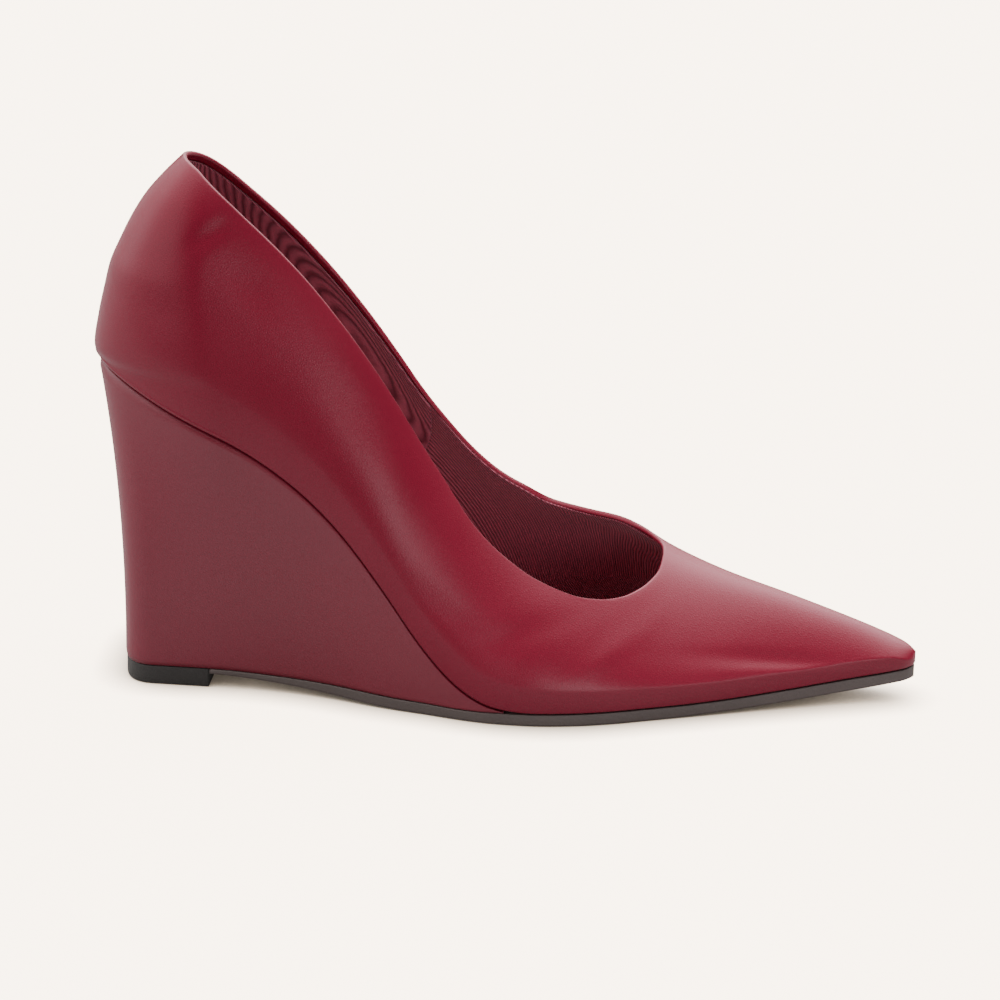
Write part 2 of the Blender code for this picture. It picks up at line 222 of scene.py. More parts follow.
def spread_stations(turn):
    """Places round the shoe, 0 at the back seam and 1 or -1 at the toe, closer at both ends."""
    way = read_curve(STATIONS, STATION_COLUMNS, "way", 1.0 - np.abs(1.0 - np.abs(turn)))
    way = np.where(np.abs(turn) > 1.0, 2.0 - way, way)
    return np.sign(turn) * way


SIDE_SIGN = {"outer": -1.0, "inner": 1.0}


def lasted_side(along, up, side):
    """Points of one side of the upper for a share along the shoe and a share up its wall.

    In side view the wall has four edges: back seam, top edge, vamp crest with toe front, and lower
    edge.  Distance x and share of section height q are each
    (1 - up) * foot + up * top + (1 - along)^3 * (back - ...) + along^3 * (crest - ...).
    The point is then y = side * width(x) * roof(q) * end roundings + lean, z = foot + height * q.
    """
    sign = SIDE_SIGN[side]
    first, final = TOPLINE[0][0], TOPLINE[-1][0]
    top_share = first + (final - first) * along
    top_rise = read_curve(TOPLINE, TOPLINE_COLUMNS, side, top_share)
    back_height = BACK[0][0] + (BACK[-1][0] - BACK[0][0]) * up
    back_x = X_BACK + LENGTH * faired(BACK, BACK_COLUMNS, "along", back_height)
    back_section = INSTEP_HEIGHT * last("crest", back_x)
    back_rise = (HEEL_HEIGHT + INSTEP_HEIGHT * back_height - lower_edge(back_x)) / back_section
    start_rise = read_curve(TOPLINE, TOPLINE_COLUMNS, side, first)
    climb = np.clip((up - TOE_SHARE) / (1.0 - TOE_SHARE), 0.0, 1.0) ** CREST_POWER

    near_back = (1.0 - along) ** EDGE_POWER
    near_crest = along ** EDGE_POWER
    x = (1.0 - up) * along + up * top_share
    x = x + near_back * ((back_x - X_BACK) / LENGTH - up * first)
    x = x + near_crest * (up * (1.0 - final) - (1.0 - final) * climb)
    x = X_BACK + LENGTH * x
    rise = up * top_rise + near_back * (back_rise - up * start_rise)
    rise = np.clip(rise + near_crest * (np.clip(up / TOE_SHARE, 0.0, 1.0) - up), 0.0, 1.0)

    foot = lower_edge(x)
    crest = INSTEP_HEIGHT * last("crest", x)
    shoulder = BALL_WIDTH * last("wall", x)
    lift = crest * rise
    low = np.clip(lift / shoulder, 0.0, 1.0)
    high = np.clip((lift - shoulder) / (crest - shoulder), 0.0, 1.0)
    width = BALL_WIDTH * last(side, x) + BULGE * low * (2.0 - low)
    width = width * (1.0 - high ** last("roof", x)) ** (1.0 / SIDE_POWER)
    height = (foot + lift - HEEL_HEIGHT) / INSTEP_HEIGHT
    back = X_BACK + LENGTH * faired(BACK, BACK_COLUMNS, "along", height)
    climb = np.clip(height / BACK[-1][0], 0.0, 1.0)
    round_length = SEAT_LENGTH + (COLLAR_LENGTH - SEAT_LENGTH) * climb
    width = width * rounding(x - back, round_length, HEEL_POWERS)
    width = width * rounding(X_TOE - x, TIP_LENGTH, TIP_POWERS)
    y = sign * width + BALL_WIDTH * last("lean", x) * high
    return np.stack((x, y, foot + lift + last("tilt", x) * y * high), axis=-1)


def lasted_wall(turn, up):
    """Points of the upper's wall all round: turn is positive on the inner side, -1 and 1 meet."""
    turn = (turn + 1.0) % 2.0 - 1.0
    along = np.abs(turn)
    outer = lasted_side(along, up, "outer")
    inner = lasted_side(along, up, "inner")
    return np.where(turn[..., None] > 0.0, inner, outer)


def outward(points, closed):
    """Unit normals of a grid of points: across columns x up rows, by central differences."""
    if closed:
        across = np.roll(points, -1, axis=1) - np.roll(points, 1, axis=1)
    else:
        across = np.gradient(points, axis=1)
    normal = np.cross(np.gradient(points, axis=0), across)
    return normal / np.linalg.norm(normal, axis=-1, keepdims=True)


def unit(vectors):
    """Vectors scaled to length 1."""
    return vectors / np.linalg.norm(vectors, axis=-1, keepdims=True)


def grid_faces(rows, columns, rows_close, columns_close):
    """Quads of a grid of points, joined last to first where it closes."""
    index = np.arange(rows * columns).reshape(rows, columns)
    if rows_close:
        index = np.concatenate((index, index[:1]), axis=0)
    if columns_close:
        index = np.concatenate((index, index[:, :1]), axis=1)
    corners = (index[:-1, :-1], index[:-1, 1:], index[1:, 1:], index[1:, :-1])
    return np.stack(corners, axis=-1).reshape(-1, 4).tolist()


MERGE = 2e-6               # points of a closed pole that are made one


def make_piece(name, points, faces, material, node, own_map=None):
    """A smooth closed piece that rides on the shoe and stands for a CAD node."""
    mesh = bpy.data.meshes.new(name)
    mesh.from_pydata(points.reshape(-1, 3).tolist(), [], faces)
    if own_map is not None:
        corner = np.empty(len(mesh.loops), dtype=np.int64)
        mesh.loops.foreach_get("vertex_index", corner)
        layer = mesh.uv_layers.new(name="cloth")
        layer.data.foreach_set("uv", own_map.reshape(-1, 2)[corner].ravel())
    body = bmesh.new()
    body.from_mesh(mesh)
    bmesh.ops.remove_doubles(body, verts=body.verts, dist=MERGE)
    bmesh.ops.recalc_face_normals(body, faces=body.faces)
    body.to_mesh(mesh)
    body.free()
    mesh.shade_smooth()
    mesh.materials.append(material)
    piece = bpy.data.objects.new(name, mesh)
    bpy.context.scene.collection.objects.link(piece)
    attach(piece, "root")
    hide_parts(node)
    return piece


def add_node(tree, kind, **settings):
    """A shader node with its properties set."""
    node = tree.nodes.new(kind)
    for key, value in settings.items():
        setattr(node, key, value)
    return node


def calculate(tree, operation, *values):
    """The output of a Math node; a number is set on its socket, a socket is linked to it."""
    node = add_node(tree, "ShaderNodeMath", operation=operation)
    for socket, value in zip(node.inputs, values):
        if isinstance(value, bpy.types.NodeSocket):
            tree.links.new(value, socket)
        else:
            socket.default_value = value
    return node.outputs[0]


GRAIN_TURN = (0.955, 0.785, 0.0)    # no face of the shoe lies flat in the grain's own grid
FINE_RATIO = 2.3           # fine cells to a pore
FINE_SHARE = 0.3           # their height against a pore's
CLOUD_DETAIL = 2.0


def leather_grain_group():
    """Leather grain: fine pores, and broad soft clouds where the finish took unevenly."""
    tree = bpy.data.node_groups.new("leather grain", "ShaderNodeTree")
    face = tree.interface
    face.new_socket("Vector", in_out="INPUT", socket_type="NodeSocketVector")
    face.new_socket("Pore Scale", in_out="INPUT", socket_type="NodeSocketFloat")
    face.new_socket("Cloud Scale", in_out="INPUT", socket_type="NodeSocketFloat")
    face.new_socket("Height", in_out="OUTPUT", socket_type="NodeSocketFloat")
    face.new_socket("Clouds", in_out="OUTPUT", socket_type="NodeSocketFloat")
    start = add_node(tree, "NodeGroupInput")
    final = add_node(tree, "NodeGroupOutput")
    pores = add_node(tree, "ShaderNodeTexVoronoi", feature="DISTANCE_TO_EDGE")
    fine = add_node(tree, "ShaderNodeTexVoronoi", feature="F1")
    fine_scale = calculate(tree, "MULTIPLY", start.outputs["Pore Scale"], FINE_RATIO)
    clouds = add_node(tree, "ShaderNodeTexNoise")
    clouds.inputs["Detail"].default_value = CLOUD_DETAIL
    turned = add_node(tree, "ShaderNodeMapping")
    turned.inputs["Rotation"].default_value = GRAIN_TURN
    tree.links.new(start.outputs["Vector"], turned.inputs["Vector"])
    for texture, scale in (
        (pores, start.outputs["Pore Scale"]),
        (fine, fine_scale),
        (clouds, start.outputs["Cloud Scale"]),
    ):
        tree.links.new(turned.outputs["Vector"], texture.inputs["Vector"])
        tree.links.new(scale, texture.inputs["Scale"])
    height = calculate(
        tree, "MULTIPLY_ADD", fine.outputs["Distance"], FINE_SHARE, pores.outputs["Distance"],
    )
    tree.links.new(height, final.inputs["Height"])
    tree.links.new(clouds.outputs["Fac"], final.inputs["Clouds"])
    return tree


PORES = 1500.0             # pores and clouds in the leather to a metre
CLOUDS = 24.0
UNEVEN_GLOSS = 0.10
GRAIN_STRENGTH = 0.26
GRAIN_DEPTH = 0.0002
COAT = 0.05
COAT_ROUGHNESS = 0.20


def smooth_leather(name, deep, bright, roughness, level, tint):
    """Finished smooth leather: fine grain, uneven colour and gloss, and a thin waxed coat.

    Colour runs from deep to bright with the clouds, and roughness within UNEVEN_GLOSS of its mean.
    """
    material = bpy.data.materials.new(name)
    material.use_nodes = True
    tree = material.node_tree
    shader = tree.nodes["Principled BSDF"]
    place = add_node(tree, "ShaderNodeTexCoord")
    grain = add_node(tree, "ShaderNodeGroup", node_tree=bpy.data.node_groups["leather grain"])
    grain.inputs["Pore Scale"].default_value = PORES
    grain.inputs["Cloud Scale"].default_value = CLOUDS
    tree.links.new(place.outputs["Object"], grain.inputs["Vector"])
    colour = add_node(tree, "ShaderNodeMix", data_type="RGBA")
    colour.inputs["A"].default_value = (*deep, 1.0)
    colour.inputs["B"].default_value = (*bright, 1.0)
    tree.links.new(grain.outputs["Clouds"], colour.inputs["Factor"])
    tree.links.new(colour.outputs["Result"], shader.inputs["Base Color"])
    gloss = calculate(
        tree, "MULTIPLY_ADD", grain.outputs["Clouds"], UNEVEN_GLOSS, roughness - 0.5 * UNEVEN_GLOSS,
    )
    tree.links.new(gloss, shader.inputs["Roughness"])
    bump = add_node(tree, "ShaderNodeBump")
    bump.inputs["Strength"].default_value = GRAIN_STRENGTH
    bump.inputs["Distance"].default_value = GRAIN_DEPTH
    tree.links.new(grain.outputs["Height"], bump.inputs["Height"])
    tree.links.new(bump.outputs["Normal"], shader.inputs["Normal"])
    shader.inputs["Specular IOR Level"].default_value = level
    shader.inputs["Specular Tint"].default_value = (*tint, 1.0)
    shader.inputs["Coat Weight"].default_value = COAT
    shader.inputs["Coat Roughness"].default_value = COAT_ROUGHNESS
    return material


LEATHER = 0.0016           # folded leather at the top edge
BAND_THICKNESS = 0.0011    # leather where the lining's edge sits in a groove
BAND_DEPTH = 0.0026        # leather that shows inside, below the top edge
BAND_STEP = 0.0008         # length of the step between the two
ROLL = 0.0007              # radius of the rolled lower edge
BEAD = 0.00022             # bead along that edge, strongest behind the heel
BEAD_UP = 0.0007           # its height above the edge
BEAD_WIDTH = 0.00035
BEAD_FADE = 0.045          # how far forward it dies away
ROWS_POWER = 1.5           # rows of the wall crowd towards the lower edge
SEAM_DEPTH = 0.00040       # closed seam down the back
SEAM_WIDTH = 0.0005
SEAM_SIDE = 0.0016         # how far it wanders to the outer side at its top
MARK_FREE = 0.08           # share of the wall at its edges that hollows leave alone
MARK_BLEND = 0.002         # how softly a hollow ends at the shoe's middle
WALL_ROWS = 112
INNER_ROWS = 40
EDGE_STEPS = 9
ROUND_STATIONS = 380
TRIAL = 0.01               # small share up the wall, to measure its height there

# Soft hollows and ridges that lasting left: side, distance along X, height, length, width, slope of
# its run, and depth, which is negative for a ridge.
MARKS = (
    ("outer", 0.0130, 0.1375, 0.0060, 0.0030, 0.55, 0.00050),
    ("outer", 0.0250, 0.1240, 0.0110, 0.0050, -0.75, 0.00045),
    ("outer", 0.0010, 0.1150, 0.0070, 0.0090, 1.30, 0.00030),
    ("outer", 0.0560, 0.0900, 0.0160, 0.0060, -0.85, 0.00030),
    ("outer", 0.0860, 0.0330, 0.0130, 0.0040, -0.60, 0.00035),
    ("outer", 0.1080, 0.0270, 0.0120, 0.0035, 0.25, 0.00030),
    ("outer", 0.1330, 0.0210, 0.0110, 0.0028, 0.55, -0.00030),
    ("outer", 0.1770, 0.0160, 0.0190, 0.0020, -0.10, 0.00035),
    ("outer", 0.1830, 0.0125, 0.0210, 0.0017, -0.05, -0.00025),
    ("inner", 0.0200, 0.1280, 0.0110, 0.0050, -0.60, 0.00045),
    ("inner", 0.0620, 0.0800, 0.0170, 0.0060, -0.80, 0.00035),
    ("inner", 0.1180, 0.0300, 0.0130, 0.0040, -0.35, 0.00040),
    ("inner", 0.1500, 0.0230, 0.0120, 0.0028, 0.30, -0.00030),
)


def hand_marks(points):
    """Depth of the hollows: for each side, the sum of
    depth * exp(-(along / length)^2 - (across / width)^2)."""
    x, y, z = np.moveaxis(points, -1, 0)
    total = 0.0 * x
    for side, from_heel, height, length, width, slope, depth in MARKS:
        along = (x - from_heel) * np.cos(slope) + (z - height) * np.sin(slope)
        across = (z - height) * np.cos(slope) - (x - from_heel) * np.sin(slope)
        held = 1.0 / (1.0 + np.exp(-SIDE_SIGN[side] * y / MARK_BLEND))
        total = total + held * depth * np.exp(-(along / length) ** 2 - (across / width) ** 2)
    return total


leather_grain_group()
upper_leather = smooth_leather(
    "upper leather", deep=(0.225, 0.0070, 0.027), bright=(0.285, 0.0115, 0.038),
    roughness=0.33, level=0.62, tint=(1.0, 0.74, 0.79),
)

turn = spread_stations(np.linspace(-1.0, 1.0, ROUND_STATIONS, endpoint=False))[None, :]
top_speed = np.linalg.norm(lasted_wall(turn, 1.0) - lasted_wall(turn, 1.0 - TRIAL), axis=-1) / TRIAL
foot_speed = np.linalg.norm(lasted_wall(turn, TRIAL) - lasted_wall(turn, 0.0), axis=-1) / TRIAL
top_share = 0.5 * LEATHER / top_speed
foot_share = ROLL / foot_speed
climb = np.linspace(0.0, 1.0, WALL_ROWS)[:, None] ** ROWS_POWER
up = foot_share + (1.0 - top_share - foot_share) * climb
wall = lasted_wall(turn, up)
normal = outward(wall, True)
seam_side = SEAM_SIDE * np.clip((wall[..., 2] - HEEL_HEIGHT) / INSTEP_HEIGHT, 0.0, 1.0)
seam = np.exp(-((wall[..., 1] + seam_side) / SEAM_WIDTH) ** 2) * (wall[..., 0] < 0.5 * LENGTH)
marked = np.clip(np.minimum(up, 1.0 - up) / MARK_FREE, 0.0, 1.0) * hand_marks(wall)
bead = BEAD * np.exp(-(((up - foot_share) * foot_speed - BEAD_UP) / BEAD_WIDTH) ** 2)
bead = bead * np.exp(-((wall[..., 0] - X_BACK) / BEAD_FADE) ** 2)
face = wall + normal * (bead - SEAM_DEPTH * seam - marked)[..., None]

arc = np.linspace(0.0, np.pi, 2 * EDGE_STEPS)[1:-1, None, None]
top_way = unit(wall[-1] - wall[-2])
fold = wall[-1] + 0.5 * LEATHER * (top_way * np.sin(arc) - normal[-1] * (1.0 - np.cos(arc)))
arc = np.linspace(0.5 * np.pi, 0.0, EDGE_STEPS)[:-1, None, None]
foot_way = unit(wall[0] - wall[1])
roll = wall[0] + ROLL * (foot_way * np.sin(arc) - normal[0] * (1.0 - np.cos(arc)))

down = np.linspace(0.0, 1.0, INNER_ROWS)[:, None] ** 2
up = 1.0 - top_share - (1.0 - top_share - foot_share) * down
inside = lasted_wall(turn, up)
depth = (1.0 - top_share - up) * top_speed
step = np.clip((depth - BAND_DEPTH + BAND_STEP) / BAND_STEP, 0.0, 1.0)
thickness = LEATHER + (BAND_THICKNESS - LEATHER) * step * step * (3.0 - 2.0 * step)
inside = inside + outward(inside, True) * thickness[..., None]
under = inside[-1] + foot_way * ROLL
rings = np.concatenate((roll, face, fold, inside, under[None]))
faces = grid_faces(*rings.shape[:2], True, True)
make_piece("upper_leather", rings, faces, upper_leather, "upper")

# Linings.  Ribbed burgundy cloth, glued inside the leather: one piece round the heel, whose turned
# front edges lie over a second piece that lines the vamp.  Both stop short of the folded top edge.
LINING_OUT = 0.00165       # depth of its glued face and of the face that shows, inside the leather
LINING_IN = 0.00205
HEEL_LINING_PROUD = 0.0003
LINING_DROP_COLUMNS = ("turn", "drop")
LINING_DROP = (            # from the back seam to the throat: distance below the folded edge
    (0.00, 0.0029),
    (0.44, 0.0029),
    (0.56, 0.0009),
    (0.74, 0.0008),
    (0.85, 0.0024),
    (1.00, 0.0030),
)
SEAM_ALONG = 0.50          # share along the topline where the two pieces meet
SEAM_SLANT = 0.16          # how far the seam runs back on its way down
LAP = 0.012
LINING_ROWS = 60
ROWS_SPREAD = 0.9          # its rows crowd a little towards the top
HEEL_TURN = 0.62           # stations round the heel, in the even spacing before they crowd
HEEL_STATIONS = 150
VAMP_STATIONS = 190
RIB_PITCH = 0.00056
RIB_ANGLE = 0.85
RIB_SOFTNESS = 0.7         # power of the rib's round top
WANDER_SCALE = 260.0
WANDER = 0.3               # in ribs
THREAD_RATE = 1.6          # threads to a rib's pitch, along it
THREAD_SHIFT = 0.5         # offset of the threads from one rib to the next
THREAD_DEPTH = 0.07


def ribbed_cloth_group():
    """Ribbed twill: sine ribs across u sin(a) + v cos(a), broken into threads along them."""
    tree = bpy.data.node_groups.new("ribbed cloth", "ShaderNodeTree")
    face = tree.interface
    face.new_socket("Vector", in_out="INPUT", socket_type="NodeSocketVector")
    face.new_socket("Pitch", in_out="INPUT", socket_type="NodeSocketFloat")
    face.new_socket("Angle", in_out="INPUT", socket_type="NodeSocketFloat")
    face.new_socket("Height", in_out="OUTPUT", socket_type="NodeSocketFloat")
    face.new_socket("Hollow Shade", in_out="OUTPUT", socket_type="NodeSocketFloat")
    start = add_node(tree, "NodeGroupInput")
    final = add_node(tree, "NodeGroupOutput")
    split = add_node(tree, "ShaderNodeSeparateXYZ")
    tree.links.new(start.outputs["Vector"], split.inputs[0])
    sine = calculate(tree, "SINE", start.outputs["Angle"])
    cosine = calculate(tree, "COSINE", start.outputs["Angle"])
    across = calculate(tree, "MULTIPLY", split.outputs["Y"], cosine)
    across = calculate(tree, "MULTIPLY_ADD", split.outputs["X"], sine, across)
    along = calculate(tree, "MULTIPLY", split.outputs["X"], cosine)
    drift = calculate(tree, "MULTIPLY", split.outputs["Y"], sine)
    along = calculate(tree, "SUBTRACT", along, drift)
    wander = add_node(tree, "ShaderNodeTexNoise")
    wander.inputs["Scale"].default_value = WANDER_SCALE
    tree.links.new(start.outputs["Vector"], wander.inputs["Vector"])
    turns = calculate(tree, "DIVIDE", across, start.outputs["Pitch"])
    turns = calculate(tree, "MULTIPLY_ADD", wander.outputs["Fac"], WANDER, turns)
    rib = calculate(tree, "SINE", calculate(tree, "MULTIPLY", turns, 2.0 * np.pi))
    rib = calculate(tree, "MULTIPLY_ADD", rib, 0.5, 0.5)
    threads = calculate(tree, "DIVIDE", along, start.outputs["Pitch"])
    threads = calculate(tree, "MULTIPLY", threads, THREAD_RATE)
    threads = calculate(tree, "MULTIPLY_ADD", turns, THREAD_SHIFT, threads)
    thread = calculate(tree, "SINE", calculate(tree, "MULTIPLY", threads, 2.0 * np.pi))
    thread = calculate(tree, "MULTIPLY_ADD", thread, THREAD_DEPTH, 1.0 - THREAD_DEPTH)
    height = calculate(tree, "MULTIPLY", calculate(tree, "POWER", rib, RIB_SOFTNESS), thread)
    tree.links.new(height, final.inputs["Height"])
    # Painted shade: one minus the rib height, the share of the darker colour between the ribs.
    tree.links.new(calculate(tree, "SUBTRACT", 1.0, height), final.inputs["Hollow Shade"])
    return tree


RIB_STRENGTH = 0.8
RIB_HEIGHT = 0.00025
CLOTH_ROUGHNESS = 0.75
CLOTH_LEVEL = 0.25
CLOTH_SHEEN = 0.25


def ribbed_cloth(name, thread_colour, shaded_hollow_colour):
    """Matte ribbed cloth on the piece's own map, with painted shade that darkens it between its
    ribs.
    """
    material = bpy.data.materials.new(name)
    material.use_nodes = True
    tree = material.node_tree
    shader = tree.nodes["Principled BSDF"]
    own_map = add_node(tree, "ShaderNodeUVMap", uv_map="cloth")
    weave = add_node(tree, "ShaderNodeGroup", node_tree=bpy.data.node_groups["ribbed cloth"])
    weave.inputs["Pitch"].default_value = RIB_PITCH
    weave.inputs["Angle"].default_value = RIB_ANGLE
    tree.links.new(own_map.outputs["UV"], weave.inputs["Vector"])
    colour = add_node(tree, "ShaderNodeMix", data_type="RGBA")
    colour.inputs["A"].default_value = (*thread_colour, 1.0)
    colour.inputs["B"].default_value = (*shaded_hollow_colour, 1.0)
    tree.links.new(weave.outputs["Hollow Shade"], colour.inputs["Factor"])
    tree.links.new(colour.outputs["Result"], shader.inputs["Base Color"])
    bump = add_node(tree, "ShaderNodeBump")
    bump.inputs["Strength"].default_value = RIB_STRENGTH
    bump.inputs["Distance"].default_value = RIB_HEIGHT
    tree.links.new(weave.outputs["Height"], bump.inputs["Height"])
    tree.links.new(bump.outputs["Normal"], shader.inputs["Normal"])
    shader.inputs["Roughness"].default_value = CLOTH_ROUGHNESS
    shader.inputs["Specular IOR Level"].default_value = CLOTH_LEVEL
    shader.inputs["Sheen Weight"].default_value = CLOTH_SHEEN
    return material


def lining_strip(turn, proud):
    """A closed thin strip inside the wall: rows up its inner face, over its top edge and back down.

    Each ring of the strip is wall - normal * depth, with depth LINING_IN + proud on the face that
    shows and LINING_OUT on the glued face, joined by a half round at the top.
    """
    top = turn[-1:]
    speed = np.linalg.norm(lasted_wall(top, 1.0) - lasted_wall(top, 1.0 - TRIAL), axis=-1)
    place = 1.0 - np.abs(1.0 - np.abs(top))
    final = 1.0 - read_curve(LINING_DROP, LINING_DROP_COLUMNS, "drop", place) * TRIAL / speed
    up = final * np.linspace(0.0, 1.0, LINING_ROWS)[:, None] ** ROWS_SPREAD
    wall = lasted_wall(turn, up)
    normal = outward(wall, False)
    middle = 0.5 * (LINING_IN + proud + LINING_OUT)
    half = 0.5 * (LINING_IN + proud - LINING_OUT)
    arc = np.linspace(0.0, np.pi, EDGE_STEPS)[1:-1, None, None]
    way = unit(wall[-1] - wall[-2])
    edge = wall[-1] - normal[-1] * (middle + half * np.cos(arc)) + way * half * np.sin(arc)
    shown = wall - normal * (middle + half)
    glued = (wall - normal * (middle - half))[::-1]
    return np.concatenate((shown, edge, glued))


def strip_faces(rows, columns):
    """Quads round a strip whose rows form a closed ring, and across its two open ends."""
    faces = grid_faces(rows, columns, True, False)
    for column in (0, columns - 1):
        for low in range(rows // 2 - 1):
            ring = (low, low + 1, rows - 2 - low, rows - 1 - low)
            faces.append([row * columns + column for row in ring])
    return faces


def cloth_map(rings, middle):
    """Map of a strip in metres: plan distance from the middle column, and height."""
    step = np.linalg.norm(np.diff(rings[..., :2], axis=1), axis=-1)
    run = np.concatenate((np.zeros_like(step[:, :1]), np.cumsum(step, axis=1)), axis=1)
    return np.stack((run - run[:, middle:middle + 1], rings[..., 2]), axis=-1)


ribbed_cloth_group()
# Thread colour, then the darker colour of the painted shade between the ribs.
lining_cloth = ribbed_cloth("lining cloth", (0.560, 0.135, 0.200), (0.200, 0.032, 0.055))

up = np.linspace(0.0, 1.0, LINING_ROWS)[:, None]
seam_along = SEAM_ALONG - SEAM_SLANT * (1.0 - up)
spread = spread_stations(np.linspace(-HEEL_TURN, HEEL_TURN, HEEL_STATIONS))[None, :]
turn = spread / np.abs(spread[0, 0]) * seam_along
rings = lining_strip(turn, HEEL_LINING_PROUD)
faces = strip_faces(*rings.shape[:2])
make_piece(
    "heel_lining", rings, faces, lining_cloth, "upper",
    cloth_map(rings, HEEL_STATIONS // 2),
)

lap_along = seam_along - LAP / LENGTH
spread = np.linspace(0.0, 2.0, VAMP_STATIONS)[None, :]
turn = lap_along + (1.0 - lap_along) * spread
rings = lining_strip(turn, 0.0)
faces = strip_faces(*rings.shape[:2])
make_piece("vamp_lining", rings, faces, lining_cloth, "upper", cloth_map(rings, 0))

# Insole.  A board covered with the lining's cloth, glued flat inside the lasted upper.  Its edge is
# wrapped, and it is lightly padded towards the middle.
INSOLE_INSET = 0.0022
INSOLE_THICKNESS = 0.0022
SOCK_TIP_ROOM = 0.0038     # from the toe tip to the sock
INSOLE_EDGE = 0.0007       # radius of its wrapped upper edge
INSOLE_UNDER = 0.0003
INSOLE_CROWN = 0.0004      # rise of the padding in the middle
INSOLE_STATIONS = 150


def plan_loop(x, inset, z, share, back, back_length, back_powers, tip):
    """A closed outline: both sides' half widths drawn in by an inset and rounded at the ends, then
    pulled to the line midway between them, so that share 0 is that line."""
    ends = rounding(x - back, back_length, back_powers) * rounding(tip - x, TIP_LENGTH, TIP_POWERS)
    outer = -(BALL_WIDTH * last("outer", x) - inset) * ends
    inner = (BALL_WIDTH * last("inner", x) - inset) * ends
    middle = 0.5 * (outer + inner)
    sides = [middle + (outer - middle) * share, (middle + (inner - middle) * share)[::-1]]
    loop = (np.concatenate((x, x[::-1])), np.concatenate(sides), np.concatenate((z, z[::-1])))
    return np.stack(loop, axis=-1)


def slab_rows(low_radius, high_radius):
    """Rows of a slab from the middle of its lower face to the middle of its upper face.

    Each row is (width share, inset, lift from the lower face, drop from the upper face), with
    quarter rounds of the two radii between the faces and the side.
    """
    rows = [(share, low_radius, 0.0, None) for share in (0.0, 0.5)]
    for arc in np.linspace(0.0, 0.5 * np.pi, EDGE_STEPS):
        inset, lift = low_radius * (1.0 - np.sin(arc)), low_radius * (1.0 - np.cos(arc))
        rows.append((1.0, inset, lift, None))
    for arc in np.linspace(0.0, 0.5 * np.pi, EDGE_STEPS):
        inset, drop = high_radius * (1.0 - np.cos(arc)), high_radius * (1.0 - np.sin(arc))
        rows.append((1.0, inset, None, drop))
    rows += [(share, high_radius, None, 0.0) for share in (0.9, 0.75, 0.5, 0.25, 0.0)]
    return rows


# Thread colour, then the darker colour of the painted shade between the ribs.
insole_cloth = ribbed_cloth("insole cloth", (0.400, 0.105, 0.150), (0.180, 0.034, 0.052))
back = X_BACK + INSOLE_INSET
tip = X_TOE - SOCK_TIP_ROOM
x = back + (tip - back) * spread_stations(np.linspace(0.0, 1.0, INSOLE_STATIONS))
rows = []
for share, inset, lift, drop in slab_rows(INSOLE_UNDER, INSOLE_EDGE):
    crown = INSOLE_CROWN * (1.0 - share ** 2)
    z = lower_edge(x) + (lift if drop is None else INSOLE_THICKNESS - drop + crown)
    inset = INSOLE_INSET + inset
    rows.append(plan_loop(x, inset, z, share, back, SEAT_LENGTH, HEEL_POWERS, tip))
rows = np.stack(rows)
faces = grid_faces(*rows.shape[:2], False, True)
make_piece("insole_sock", rows, faces, insole_cloth, "insole", rows[..., :2].copy())

# Wedge.  A light block covered with the same leather as the upper, hollowed in its sides.  The
# cover is wrapped over the block's top edge, where a narrow groove parts it from the upper.
WEDGE_BACK = -0.01375
WEDGE_FRONT = 0.1028
WEDGE_FLARE = 2.3          # power of the hollow in its sides
FOOT_LENGTH = 0.011
FOOT_POWERS = (2.6, 3.4)
SOLE_INSET = 0.0002
GROOVE = 0.0005            # height of the groove below the upper
WRAP = 0.0004              # radius of the wrapped top edge
LEDGE = 0.0014             # height of a step in the cover behind the heel, below the groove
LEDGE_DEPTH = 0.3          # its depth and the place of its foot, against that height
LEDGE_FOOT = 1.6
LEDGE_EDGE = 0.0001        # softness of the step
LEDGE_FADE = 0.035         # how far forward it dies away
FOOT_TUCK = 0.0002         # the cover is drawn in over the sole
WEDGE_ROWS = 64
WEDGE_STATIONS = 130

